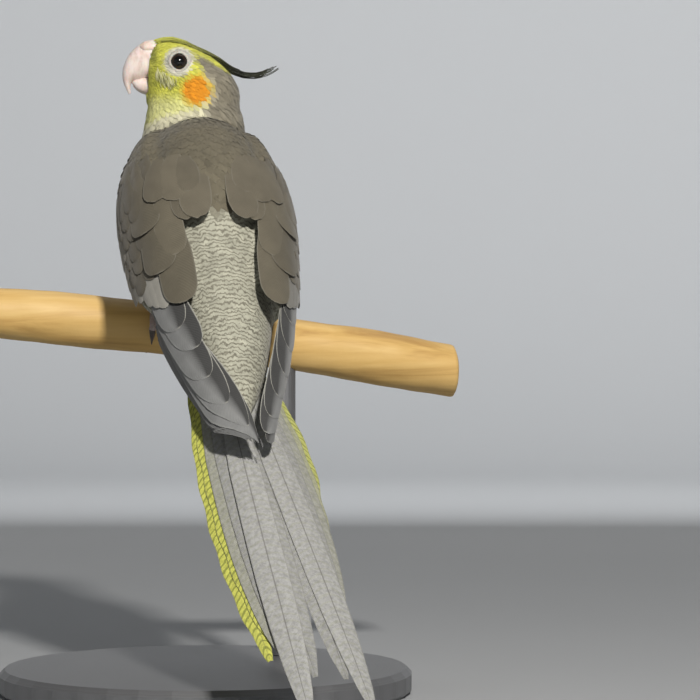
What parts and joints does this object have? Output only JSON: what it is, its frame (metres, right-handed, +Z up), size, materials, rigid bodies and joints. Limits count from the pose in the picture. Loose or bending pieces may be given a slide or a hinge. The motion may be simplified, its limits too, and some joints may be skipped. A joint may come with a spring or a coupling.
{
  "type": "perched cockatiel figure",
  "caption": "Life-size cockatiel sitting on a short cut branch, seen over its back with the face turned left, crest laid back, long pointed tail hanging; held on a plain round stand",
  "frame": {"origin": "middle of the underside of the stand's round base", "axes": "+Z up; the bird's breast faces +Y and its tail hangs towards -Y; +X is the bird's right"},
  "size_m": [0.19, 0.2226, 0.2349],
  "materials": {
    "stand_metal": "satin black",
    "branch": "dry, smooth",
    "eye": "wet black",
    "claw": "dull horn",
    "foot_skin": "scaly",
    "beak": "smooth horn",
    "face_plumage": "soft feather",
    "crest_plumage": "soft feather",
    "wing_plumage": "soft feather",
    "tail_plumage": "soft feather",
    "pale_plumage": "soft feather",
    "back_plumage": "soft feather"
  },
  "bodies": {
    "root": {"beak_lower": "beak", "beak_upper": "beak", "claw_left_inner_back": "claw", "claw_left_inner_front": "claw", "claw_left_outer_back": "claw", "claw_left_outer_front": "claw", "claw_right_inner_back": "claw", "claw_right_inner_front": "claw", "claw_right_outer_back": "claw", "claw_right_outer_front": "claw", "crest": "crest_plumage", "eye_left": "eye", "eye_right": "eye", "foot_left": "foot_skin", "foot_right": "foot_skin", "head": "face_plumage", "leg_left": "pale_plumage", "leg_right": "pale_plumage", "neck": "back_plumage", "perch": "branch", "stand_base": "stand_metal", "stand_rod": "stand_metal", "tail": "tail_plumage", "torso": "back_plumage", "undertail": "pale_plumage", "wing_left": "wing_plumage", "wing_right": "wing_plumage"}
  },
  "joints": []
}
